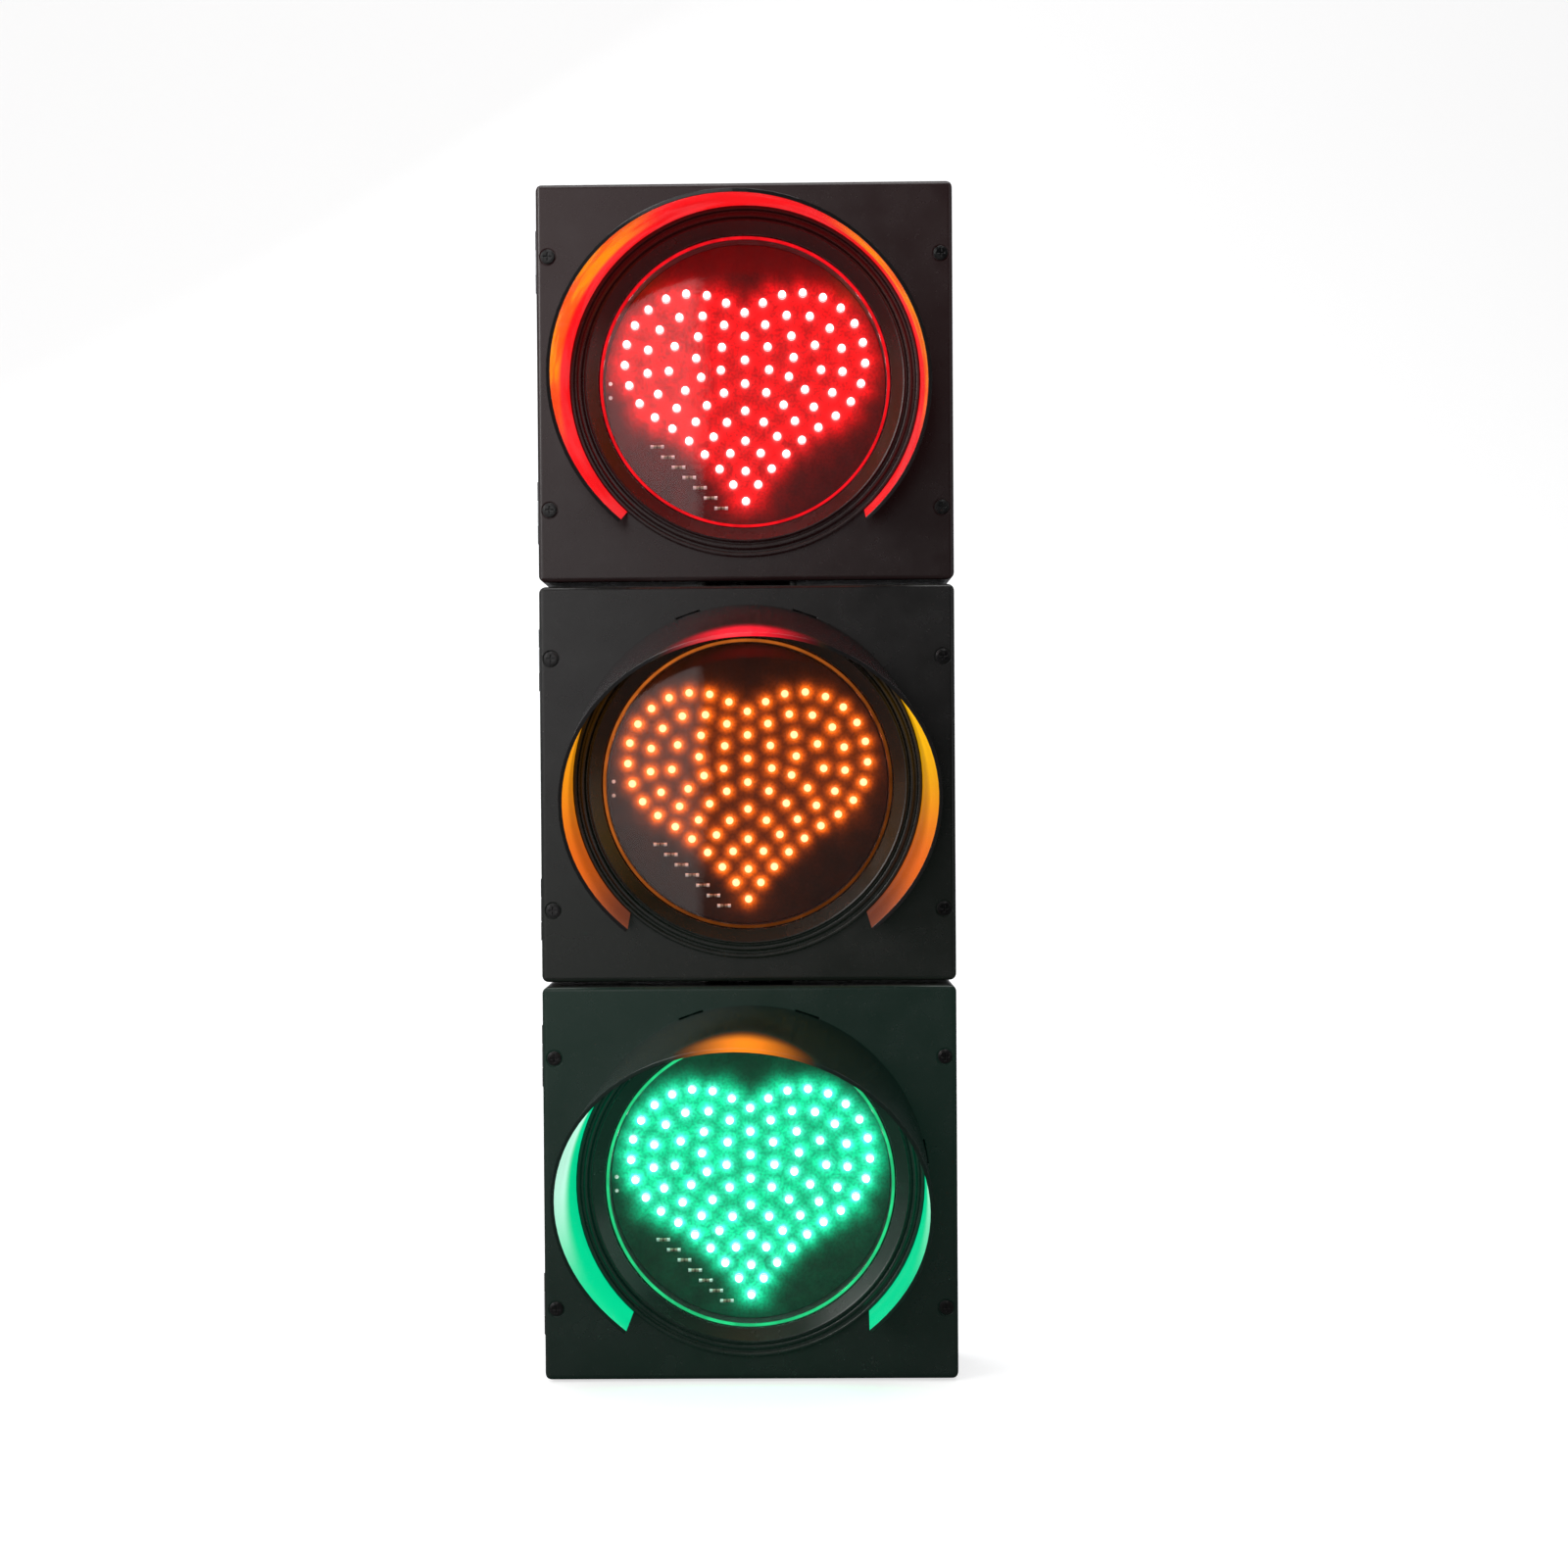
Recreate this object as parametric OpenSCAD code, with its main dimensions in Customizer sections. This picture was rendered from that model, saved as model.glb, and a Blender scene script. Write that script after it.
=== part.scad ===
// Three-section traffic signal head: red, amber and green lamp units stacked on
// one vertical mounting axis. Millimetres. +Z is up and the lenses face -Y.
// The origin is the centre of the bottom mounting hole, on its outer face.

/* [Sections] */
// Width of a section across its door
section_w = 280; // [270:1:300]
// Height from one section to the next
section_pitch = 270; // [266:1:280]
// Gap between the walls of two stacked sections
section_gap = 3; // [2:0.5:5]
// Depth of a housing behind the parting line
housing_depth = 96; // [90:1:130]
// Depth of a door in front of the parting line
door_depth = 22; // [20:1:26]
// Wall thickness of the mouldings
wall = 3; // [2.5:0.5:4]
// Radius of the corners seen from the front
corner_r = 5; // [3:1:10]

/* [Lens and module] */
// Radius of the clear opening in the door
opening_r = 98.6; // [95:0.1:100]
// Height of the collar around the lens above the door's face
collar_h = 6.2; // [4:0.1:9]
// Thickness of the lens
lens_t = 3; // [2:0.5:4]
// Diameter of one light emitting diode
led_d = 5; // [3:0.5:6]

/* [Heart pattern] */
// Height of the outer heart's notch above the lens centre
heart_notch = 49; // [40:0.5:50]
// Depth of the outer heart's tip below the lens centre
heart_tip = 78.5; // [70:0.5:84]
// Radius of the outer heart's lobes
lobe_r = 45.5; // [44:0.5:48]
// Step inwards from one heart to the next
heart_step = 13.4; // [13:0.1:14]

/* [Visors] */
// Length of a visor along its top
visor_len = 150; // [110:5:200]
// Length of a visor at its two lower ends
visor_end_len = 36; // [20:1:60]
// Half of the arc that a visor covers, from its top to one end
visor_arc = 137.5; // [110:0.5:150]
// Thickness of a visor
visor_t = 2.5; // [2:0.1:2.6]
// Outward slope of a visor's wall
visor_flare = 0.06; // [0:0.005:0.12]
// How soon a visor shortens from its top towards its ends, where 1 follows its height
visor_cut = 1.17; // [0.5:0.01:2]
// Downward slope of the green, amber and red visors, as fitted
visor_droop = [0.172, 0.236, 0.190];
// Slope to the right of the green, amber and red visors, as fitted
visor_lean = [-0.058, 0.033, -0.036];

/* [Mounting] */
// Radius of the hollow-bolt hole in the top and bottom
bore_r = 25; // [20:0.5:26]
// Radius of the circle of the three bolt holes
bolt_circle_r = 36; // [35:0.5:37]
// Radius of a bolt hole between two sections
bolt_hole_r = 3.3; // [3.2:0.1:3.5]
// Radius of a bolt hole in the top and bottom, where a bracket is fastened
bracket_hole_r = 4.2; // [4:0.1:4.4]

/* [Hidden] */
$fn = 72;

// Section numbers from the bottom up, and the colours of what lights
GREEN = 0;
AMBER = 1;
RED = 2;
LIGHT = [[0.1, 0.85, 0.55], [0.95, 0.6, 0.1], [0.9, 0.12, 0.1]];
BODY_BLACK = [0.09, 0.09, 0.09];
STEEL = [0.7, 0.7, 0.72];
RUBBER = [0.05, 0.05, 0.05];

// Planes along Y, from the back forwards
section_h = section_pitch - section_gap;
back_y = housing_depth / 2;
part_y = -housing_depth / 2;
seal_gap = 0.5;
door_back_y = part_y - seal_gap;
face_y = part_y - door_depth;
plate_t = 4;
ledge_y = face_y + plate_t;
flange_t = 5;
lens_front_y = ledge_y - 1.5;
lens_back_y = lens_front_y + lens_t;
lens_flange_y = ledge_y + 2.5;
case_front_y = lens_flange_y + 2.5;
case_flange_back_y = case_front_y + 3;
case_back_y = -14;
board_y = -50;
board_t = 1.6;
driver_y = -36;

// Half sizes of the opening shared by the door's rear flange and the housing's rim
rim_half_x = section_w / 2 - 21;
rim_half_z = section_h / 2 - 14;
gasket_w = 4;
gasket_x = rim_half_x + 3;
gasket_z = rim_half_z + 2;

// Hinge axis on the left side, and the fasteners at the four corners of a door
hinge_x = -section_w / 2 + 1.2;
hinge_r = 3.2;
hinge_z = 85;
pin_r = 1.5;
pin_bore_r = 1.55;
knuckle_gap = 0.4;
door_knuckle_half = 8;
hinge_half = 21;
rear_edge_r = 9;
screw_x = section_w / 2 - 8;
screw_shank_r = 2.5;
screw_hole_r = 2.8;
insert_bore_r = 3.2;
insert_r = 5;
insert_len = 14;

// Radii around the lens: funnel, ring, visor slot and outer lip of the collar
funnel_r = 107.4;
ring_in_r = 109.2;
lip_in_r = 114.6;
lip_r = 117.6;
visor_r = lip_r + 0.25 + visor_t / 2;
visor_seat = 3;
visor_columns = 72;
tab_columns = [1, 14, 30, 40, 56, 69];
tab_half = 8.6;
tab_len = plate_t + 7;

// Module retention
clip_angles = [45, 135, 225, 315];
clip_boss_r = 110;
flange_r = 103;

// Coupling between sections, measured from the joint's plane
boss_r = 42;
boss_t = 3;
wall_stack = section_gap / 2 + wall + boss_t;
coupling_t = 4;

// Routes of the three leads, from the module's gland to the terminal block
lead_r = 2.4;
TO_WALL = [[0, -16, 0], [0, -10, 0], [0, -5.4, 0], [-1.5, 1.5, 0], [-7.5, 8.5, 0], [-19, 11, -1],
    [-42, 10, -3], [-70, 6, -6], [-98, -4, -12],
    [-109, -22, -20], [-113, -34, -32], [-120, -33, -44], [-128, -22, -50],
    [-131, -4, -52], [-129, 18, -54], [-118, 34, -56]];
AMBER_END = [[-84, 38, -62], [-46, 38, -66], [-26, 38, -71], [-20, 38, -78], [-20, 38, -85.8]];
RED_END = [[-84, 38, -62], [-46, 30, -76], [-22, 14, -100], [-13, 6, -128],
    [-13, 6, -142], [-16, 14, -170], [-22, 26, -200], [-20, 38, -240],
    [-12, 38, -300], [0, 38, -334], [0, 38, -346], [0, 38, -355.8]];
GREEN_START = [[0, -16, 0], [0, -10, 0], [0, -5.4, 0], [-1.5, 1.5, 0], [-7.5, 8.5, 0], [-19, 11, 1],
    [-42, 10, 3], [-70, 6, 6], [-98, -4, 12],
    [-109, -22, 20], [-113, -34, 32], [-120, -33, 44], [-128, -22, 50],
    [-131, -4, 52], [-129, 18, 54], [-118, 34, 56]];
GREEN_END = [[-84, 38, 62], [-40, 30, 76], [-4, 14, 100], [13, 6, 128], [13, 6, 142],
    [16, 13, 150], [19, 27, 152.5], [20, 36, 156], [20, 38, 160], [20, 38, 163.4]];
terminal_z = section_pitch * 1.5 - 96;
terminal_h = 10;

// ---- helpers ----

function section_z(i) = section_pitch * (i + 0.5);

function arc(cx, cy, r, a0, a1, n = 6) =
    [for (i = [0:n]) let (a = a0 + (a1 - a0) * i / n) [cx + r * cos(a), cy + r * sin(a)]];

// Outline of a rectangle centred on the origin with its four corners rounded
function round_rect(w, h, r) = concat(
    arc(w / 2 - r, h / 2 - r, r, 0, 90), arc(-w / 2 + r, h / 2 - r, r, 90, 180),
    arc(-w / 2 + r, -h / 2 + r, r, 180, 270), arc(w / 2 - r, -h / 2 + r, r, 270, 360));

// Box given by its lowest and highest corners
module block(low, high) {
    translate(low) cube(high - low);
}

// Cylinder along Y from ya at its back to yb at its front
module rod(r, ya, yb, x = 0, z = 0) {
    translate([x, ya, z]) rotate([90, 0, 0]) cylinder(r = r, h = ya - yb);
}

// Plate in the XZ plane with rounded corners, from ya at its back to yb
module plate(w, h, r, ya, yb) {
    translate([0, ya, 0]) rotate([90, 0, 0])
        linear_extrude(height = ya - yb) polygon(round_rect(w, h, r));
}

// Solid of revolution about the Y axis, from points of [radius, y]
module turned(points) {
    rotate([90, 0, 0]) rotate_extrude($fn = 144) polygon([for (p = points) [p[0], -p[1]]]);
}

// Block from ya to yb whose front or rear edges are rounded as well as its corners
module shell_block(w, h, ya, yb, r, front_r, rear_r) {
    reach = 200;
    function side(half, s) = concat(
        arc(half - rear_r, s * ya - s * rear_r, rear_r, s > 0 ? 90 : -90, 0),
        arc(half - front_r, s * yb + s * front_r, front_r, 0, s > 0 ? -90 : 90));
    function mirrored(p) = [for (i = [len(p) - 1:-1:0]) [-p[i][0], p[i][1]]];
    plan = concat(side(w / 2, 1), mirrored(side(w / 2, 1)));
    tall = concat(side(h / 2, 1), mirrored(side(h / 2, 1)));
    intersection() {
        plate(w, h, r, ya, yb);
        translate([0, 0, -reach]) linear_extrude(height = 2 * reach) polygon(plan);
        rotate([0, 90, 0]) translate([0, 0, -reach])
            linear_extrude(height = 2 * reach) polygon(tall);
    }
}

// Places its children at each of the two fastener heights of a section
module at_corners(x) {
    for (s = [-1, 1]) translate([x, 0, s * hinge_z]) children();
}

// ---- housing ----

// Serrated face that a bracket's teeth or the next section grip
module serrated_ring() {
    teeth = 36;
    ring_r = 31.5;
    root = 26.5;
    sunk = 0.5;
    difference() {
        translate([0, 0, -sunk]) cylinder(r = ring_r, h = section_gap / 2 + sunk);
        translate([0, 0, -1]) cylinder(r = bore_r, h = section_gap + 2);
        for (i = [0:teeth - 1]) rotate([0, 0, i * 360 / teeth])
            translate([root, -0.6, 0.5]) cube([ring_r, 1.2, section_gap]);
    }
}

// Central hole and bolt holes through a section's two ends, wider where a bracket goes
module end_holes(i) {
    translate([0, 0, -section_h]) cylinder(r = bore_r, h = 2 * section_h);
    for (s = [-1, 1], a = [90, 210, 330]) rotate([0, 0, a])
        translate([bolt_circle_r, 0, s > 0 ? 0 : -section_h])
            cylinder(r = i == 1 + s ? bracket_hole_r : bolt_hole_r, h = section_h, $fn = 32);
}

// Cylinder along the hinge axis between two heights
module hinge_rod(r, z0, z1) {
    translate([hinge_x, part_y, z0]) cylinder(r = r, h = z1 - z0, $fn = 48);
}

module housing_at(i) {
    color(BODY_BLACK) translate([0, 0, section_z(i)]) difference() {
        union() {
            difference() {
                shell_block(section_w, section_h, back_y, part_y, corner_r, 0.6, rear_edge_r);
                shell_block(section_w - 2 * wall, section_h - 2 * wall, back_y - wall,
                    part_y + flange_t, 3, 0.4, rear_edge_r - wall);
                plate(2 * rim_half_x, 2 * rim_half_z, 4, 0, part_y - 1);
                hinge_rod(2.6, -section_h, section_h);
                at_corners(0) hinge_rod(hinge_r + 0.4, -door_knuckle_half - knuckle_gap,
                    door_knuckle_half + knuckle_gap);
            }
            for (s = [0, 1]) mirror([0, 0, s])
                translate([0, 0, section_h / 2 - wall - boss_t]) cylinder(r = boss_r, h = boss_t + 0.4);
            for (s = [0, 1]) mirror([0, 0, s])
                translate([0, 0, section_h / 2]) serrated_ring();
            at_corners(screw_x) lock_boss();
            at_corners(0) for (s = [-1, 1])
                hinge_rod(hinge_r, s > 0 ? door_knuckle_half + knuckle_gap : -hinge_half,
                    s > 0 ? hinge_half : -door_knuckle_half - knuckle_gap);
            rear_ribs();
        }
        end_holes(i);
        at_corners(screw_x) rod(insert_r, part_y + insert_len, part_y - 1);
        at_corners(screw_x) rod(insert_bore_r, part_y + insert_len + 8, part_y);
        at_corners(0) hinge_rod(pin_bore_r, -hinge_half - 1, hinge_half + 1);
    }
}

// Post on the right wall that holds a threaded insert
module lock_boss() {
    boss_len = insert_len + 10;
    union() {
        rod(7, part_y + boss_len, part_y + 1);
        block([-1, part_y + 1, -7], [6, part_y + boss_len, 7]);
    }
}

// Shallow stiffening frame moulded on the back
module rear_ribs() {
    rib_w = 5;
    rib_h = 1.6;
    difference() {
        plate(206, 196, 8, back_y + rib_h, back_y - 1);
        plate(206 - 2 * rib_w, 196 - 2 * rib_w, 5, back_y + rib_h + 1, back_y);
    }
    for (z = [-36, 0, 36]) block([-100, back_y - 1, z - rib_w / 2], [100, back_y + rib_h, z + rib_w / 2]);
}

// ---- door ----

module collar() {
    turned([[opening_r, face_y - 0.4], [106.4, face_y - collar_h + 0.2],
        [107, face_y - collar_h], [funnel_r, face_y - collar_h + 0.2], [107.9, face_y - 0.8],
        [ring_in_r, face_y - 0.8], [109.6, face_y - 3.6], [110.2, face_y - 4.2],
        [111.8, face_y - 4.2], [112.5, face_y - 3.6], [112.9, face_y - 0.4],
        [lip_in_r, face_y - 0.4], [114.9, face_y - 2.6], [115.4, face_y - 3.2],
        [116.9, face_y - 3.2], [lip_r, face_y - 2.6], [lip_r, ledge_y], [opening_r, ledge_y]]);
}

module door_at(i) {
    color(BODY_BLACK) translate([0, 0, section_z(i)]) difference() {
        union() {
            difference() {
                shell_block(section_w, section_h, door_back_y, face_y, corner_r, 3, 0.6);
                plate(section_w - 2 * wall, section_h - 2 * wall, 3, door_back_y - flange_t, ledge_y);
                plate(2 * rim_half_x, 2 * rim_half_z, 4, door_back_y + 1, ledge_y);
                rod(lip_r - 0.3, ledge_y + 1, face_y - 1);
            }
            collar();
            for (x = [-screw_x, screw_x]) at_corners(x) rod(6, door_back_y - 1, ledge_y - 1);
            for (a = clip_angles) rotate([0, a, 0])
                rod(5, case_flange_back_y, ledge_y - 0.5, clip_boss_r);
        }
        gasket_channel(gasket_w + 0.2, door_back_y + 1, door_back_y - 3);
        at_corners(screw_x) rod(screw_hole_r, door_back_y + 1, face_y - 1);
        at_corners(-screw_x) rod(screw_hole_r, door_back_y + 1, face_y - 1);
        for (x = [-screw_x, screw_x]) at_corners(x) rod(5.6, face_y + 1, face_y - 1);
        for (a = clip_angles) rotate([0, a, 0])
            rod(1.7, case_flange_back_y + 1, ledge_y - 0.8, clip_boss_r, 0);
        for (c = tab_columns) rotate([0, column_angle(c + 1), 0])
            block([-tab_half, face_y - 0.1, lip_r - 0.3], [tab_half, ledge_y + 1, lip_r + visor_t + 0.9]);
        hinge_rod(2.6, -section_h, section_h);
        at_corners(0) hinge_rod(hinge_r + 0.5, -hinge_half - knuckle_gap, hinge_half + knuckle_gap);
        at_corners(-screw_x) block([-5.4, door_back_y - 2.7, -13.4], [5, door_back_y + 1, 13.4]);
    }
}

// Rectangular ring that the door gasket sits in
module gasket_channel(w, ya, yb) {
    difference() {
        plate(2 * gasket_x + 2 * w, 2 * gasket_z + 2 * w, 6, ya, yb);
        plate(2 * gasket_x, 2 * gasket_z, 4, ya + 1, yb - 1);
    }
}

module door_gasket_at(i) {
    color(RUBBER) translate([0, 0, section_z(i)]) translate([0, 0, 0])
        difference() {
            plate(2 * gasket_x + 2 * gasket_w, 2 * gasket_z + 2 * gasket_w, 6, part_y - 0.3, door_back_y - 2.9);
            plate(2 * gasket_x + 0.4, 2 * gasket_z + 0.4, 4, part_y + 1, door_back_y - 4);
        }
}

// ---- visor ----

// Share of the way up from the visor's ends to its top at angle t from the top
function visor_rise(t) = (cos(t) - cos(visor_arc)) / (1 - cos(visor_arc));
function visor_length(t) = visor_end_len + (visor_len - visor_end_len) * pow(max(0, visor_rise(t)), visor_cut);
function column_angle(i) = visor_arc * (2 * i / visor_columns - 1);

// Point on the visor at angle t, d in front of its seat, off its middle surface by off
function visor_point(t, d, off, droop, lean) =
    let (out = max(0, d - visor_seat), r = visor_r + off + visor_flare * out)
    [r * sin(t) + lean * out, face_y - 0.2 - d, r * cos(t) - droop * out];

// Whether the piece between columns i and i + 1 is part of a tab
function in_tab(i) = len([for (c = tab_columns) if (i == c || i == c + 1) 1]) > 0;

// Sheet bent round the collar, with tabs that pass through the door's slots
module visor_shell(droop, lean) {
    along = [-tab_len, 0, visor_seat, 10, 24, 44, 70, 100, 130];
    n = len(along);
    side = n * (visor_columns + 1);
    segments = [0:visor_columns - 1];
    // The last ring's place is where the edge is at that angle, so rings are spread to it
    function depth(t, j) = j < 3 ? along[j]
        : visor_seat + (visor_length(t) - visor_seat) * along[j] / along[n - 1];
    function sheet(off) = [for (i = [0:visor_columns]) let (t = column_angle(i))
        for (j = [0:n - 1]) visor_point(t, depth(t, j), off, droop, lean)];
    function at(i, j, s) = s * side + i * n + j;
    function quad(a, b, c, d) = [[a, b, c], [a, c, d]];
    function start_wall(i, j) = quad(at(i, j, 0), at(i, j, 1), at(i, j + 1, 1), at(i, j + 1, 0));
    function end_wall(i, j) = quad(at(i, j, 0), at(i, j + 1, 0), at(i, j + 1, 1), at(i, j, 1));
    function first_row(i) = in_tab(i) ? 0 : 1;
    outer = [for (i = segments, j = [first_row(i):n - 2])
        each quad(at(i, j, 0), at(i, j + 1, 0), at(i + 1, j + 1, 0), at(i + 1, j, 0))];
    inner = [for (i = segments, j = [first_row(i):n - 2])
        each quad(at(i, j, 1), at(i + 1, j, 1), at(i + 1, j + 1, 1), at(i, j + 1, 1))];
    rear = [for (i = segments) let (j = first_row(i))
        each quad(at(i, j, 0), at(i + 1, j, 0), at(i + 1, j, 1), at(i, j, 1))];
    front = [for (i = segments)
        each quad(at(i, n - 1, 0), at(i, n - 1, 1), at(i + 1, n - 1, 1), at(i + 1, n - 1, 0))];
    lower_ends = [for (j = [1:n - 2]) each concat(start_wall(0, j), end_wall(visor_columns, j))];
    tab_sides = [for (c = tab_columns) each concat(start_wall(c, 0), end_wall(c + 2, 0))];
    polyhedron(points = concat(sheet(visor_t / 2), sheet(-visor_t / 2)),
        faces = concat(outer, inner, rear, front, lower_ends, tab_sides), convexity = 6);
}

module visor_at(i) {
    color(BODY_BLACK) translate([0, 0, section_z(i)]) visor_shell(visor_droop[i], visor_lean[i]);
}

// ---- lens and module ----

module lens_at(i) {
    r = opening_r - 0.4;
    color([0.8, 0.85, 0.85, 0.4]) translate([0, 0, section_z(i)])
        turned([[0, lens_front_y], [r - 2.8, lens_front_y], [r - 2.3, lens_front_y - 1.7],
            [r - 1.8, lens_front_y - 2.1], [r - 0.6, lens_front_y - 2.1], [r, lens_front_y - 1.5],
            [r, lens_flange_y], [flange_r, lens_flange_y], [flange_r, case_front_y],
            [r - 3.7, case_front_y], [r - 3.7, lens_back_y], [0, lens_back_y]]);
}

module lens_gasket_at(i) {
    color(RUBBER) translate([0, 0, section_z(i)])
        turned([[opening_r + 0.2, ledge_y], [flange_r - 0.2, ledge_y],
            [flange_r - 0.2, lens_flange_y], [opening_r + 0.2, lens_flange_y]]);
}

module led_board_at(i) {
    color([0.07, 0.08, 0.07]) translate([0, 0, section_z(i)])
        rod(95, board_y + board_t, board_y);
}

// One quarter of the heart family: points of heart k from its notch to its tip,
// as a tangent line, an arc of the lobe and a long concave arc, evenly spaced
function heart_side(k, steps) =
    let (c = [36 - 1.3 * k, 16.5 - 1.1 * k], r = lobe_r - heart_step * k, sweep_r = 200,
        notch = [0, heart_notch - 16 * k], tip = [0, -heart_tip + 20.4 * k],
        to_notch = norm(notch - c), line = sqrt(to_notch * to_notch - r * r),
        a1 = atan2(notch[1] - c[1], notch[0] - c[0]) - acos(r / to_notch),
        to_tip = norm(tip - c), apart = r + sweep_r,
        a2 = atan2(tip[1] - c[1], tip[0] - c[0])
            + acos((apart * apart + to_tip * to_tip - sweep_r * sweep_r) / (2 * apart * to_tip)),
        c2 = c + apart * [cos(a2), sin(a2)], turn = (a1 - a2 + 720) % 360,
        p1 = c + r * [cos(a1), sin(a1)], lobe = r * turn * PI / 180,
        b0 = a2 + 180, b1 = atan2(tip[1] - c2[1], tip[0] - c2[0]),
        bend = ((b1 - b0 + 540) % 360) - 180, tail = sweep_r * abs(bend) * PI / 180,
        total = line + lobe + tail)
    [for (i = [0:steps]) let (s = total * i / steps)
        s < line ? notch + (p1 - notch) * s / line
        : s < line + lobe ? let (a = a1 - (s - line) / r * 180 / PI) c + r * [cos(a), sin(a)]
        : let (b = b0 + bend * (s - line - lobe) / tail) c2 + sweep_r * [cos(b), sin(b)]];

// All diode places of a module: four nested hearts, each mirrored left to right
HEART_STEPS = [17, 12, 8, 5];
function heart_points() = [for (k = [0:3]) let (half = heart_side(k, HEART_STEPS[k]))
    each concat(half, [for (j = [1:len(half) - 2]) [-half[j][0], half[j][1]]])];

module led() {
    r = led_d / 2;
    union() {
        rod(r + 0.4, board_y, board_y - 1);
        rod(r, board_y - 0.5, board_y - 6.1);
        translate([0, board_y - 6.1, 0]) sphere(r = r, $fn = 24);
    }
}

module leds_at(i) {
    color(LIGHT[i]) translate([0, 0, section_z(i)])
        for (p = heart_points()) translate([p[0], 0, p[1]]) led($fn = 20);
}

// Row of small resistors down the heart's lower left edge
module resistors_at(i) {
    body_r = 1.2;
    cap_x = 3.6;
    color([0.75, 0.68, 0.55]) translate([0, 0, section_z(i)])
        for (k = [0:6]) translate([-60 + 7.2 * k, board_y - body_r, -41 - 7 * k]) rotate([0, 90, 0])
            union() {
                cylinder(r = body_r * 0.9, h = 6, center = true, $fn = 20);
                for (s = [-1, 1]) translate([0, 0, s * cap_x])
                    cylinder(r = body_r, h = 2, center = true, $fn = 20);
            }
}

module module_case_at(i) {
    post_y = board_y + board_t;
    color([0.12, 0.12, 0.12]) translate([0, 0, section_z(i)]) difference() {
        union() {
            turned([[flange_r, case_front_y], [flange_r, case_flange_back_y],
                [99.5, case_flange_back_y], [98, -46], [66, -19], [58, case_back_y],
                [0, case_back_y], [0, case_back_y - 3], [56.5, case_back_y - 3],
                [63.6, -21], [95.3, -47.6], [96.5, case_front_y]]);
            rod(9, case_back_y + 8, case_back_y - 1);
            for (a = clip_angles) rotate([0, a, 0]) rod(4, case_back_y - 2, post_y, 54);
            for (x = [-30, 30], z = [-20, 20]) rod(3, case_back_y - 2.5, driver_y + board_t, x, z);
            for (a = [0:30:330]) rotate([0, a, 0])
                block([24, case_back_y - 2, -1], [57, case_back_y + 2, 1]);
        }
        rod(lead_r + 0.3, case_back_y + 9, case_back_y - 9);
    }
}

// Power supply board behind the diodes, with its larger components
module driver_at(i) {
    top = driver_y;
    translate([0, 0, section_z(i)]) {
        color([0.1, 0.35, 0.2]) block([-36, top, -26], [36, top + board_t, 26]);
        color([0.8, 0.7, 0.2]) block([-14, top - 10, -12], [8, top, 12]);
        color([0.15, 0.2, 0.4]) for (z = [-12, 4]) rod(5, top, top - 10, 24, z);
        color([0.5, 0.1, 0.1]) block([-32, top - 7, -8], [-20, top, 8]);
        color(BODY_BLACK) rod(4, top, top - 6, 24, 18);
    }
}

module module_clips_at(i) {
    color(STEEL) translate([0, 0, section_z(i)]) for (a = clip_angles) rotate([0, a, 0])
        difference() {
            block([100.4, case_flange_back_y, -6], [115.5, case_flange_back_y + 2, 6]);
            rod(1.9, case_flange_back_y + 3, case_flange_back_y - 1, clip_boss_r);
        }
}

module pan_head(r, h, back) {
    difference() {
        union() {
            rod(r, back, back - h * 0.55);
            rod(r * 0.93, back, back - h * 0.82);
            rod(r * 0.76, back, back - h);
        }
        for (a = [0, 90]) rotate([0, a, 0])
            block([-r * 0.58, back - h - 1, -r * 0.11], [r * 0.58, back - h * 0.5, r * 0.11]);
    }
}

module clip_screws_at(i) {
    seat = case_flange_back_y + 2;
    color(STEEL) translate([0, 0, section_z(i)]) for (a = clip_angles)
        rotate([0, a, 0]) translate([clip_boss_r, seat, 0]) rotate([0, 0, 180]) union() {
            pan_head(3.5, 2.2, 0);
            rod(1.6, 8, -0.5);
        }
}

// ---- hinges and locks ----

// Steel leaf on the door with the middle knuckle
module hinge_leaves_at(i) {
    color(STEEL) translate([0, 0, section_z(i)]) at_corners(0) difference() {
        union() {
            block([-screw_x - 3, door_back_y - 2.5, -13], [-screw_x + 4.6, door_back_y - 0.5, 13]);
            block([hinge_x, door_back_y - 2.5, -door_knuckle_half + 0.2],
                [-screw_x - 2, door_back_y - 0.5, door_knuckle_half - 0.2]);
            hinge_rod(hinge_r, -door_knuckle_half, door_knuckle_half);
        }
        hinge_rod(pin_bore_r, -hinge_half, hinge_half);
        rod(screw_shank_r + 0.1, door_back_y + 1, door_back_y - 4, -screw_x);
    }
}

module face_screw(shank_y) {
    union() {
        pan_head(4.75, 3.2, face_y + 1);
        rod(screw_shank_r, shank_y, face_y + 0.5, $fn = 48);
    }
}

module hinge_screws_at(i) {
    color([0.13, 0.13, 0.13]) translate([0, 0, section_z(i)])
        at_corners(-screw_x) face_screw(door_back_y - 0.6);
}

// Captive screw that holds the door's free side, s = 1 above and s = -1 below
module lock_screw_at(i, s) {
    color([0.13, 0.13, 0.13]) translate([screw_x, 0, section_z(i) + s * hinge_z])
        face_screw(part_y + 10);
}

module hinge_pins() {
    color(STEEL) for (i = [0:2]) translate([0, 0, section_z(i)]) at_corners(0) union() {
        hinge_rod(pin_r, -hinge_half - 0.5, hinge_half + 1);
        hinge_rod(2.4, hinge_half + 0.3, hinge_half + 1.6);
    }
}

module lock_inserts() {
    color([0.8, 0.65, 0.3]) for (i = [0:2]) translate([0, 0, section_z(i)])
        at_corners(screw_x) difference() {
            rod(insert_r - 0.05, part_y + insert_len, part_y + 0.2);
            rod(insert_bore_r, part_y + insert_len + 1, part_y - 1);
        }
}

// ---- coupling between sections ----

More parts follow.
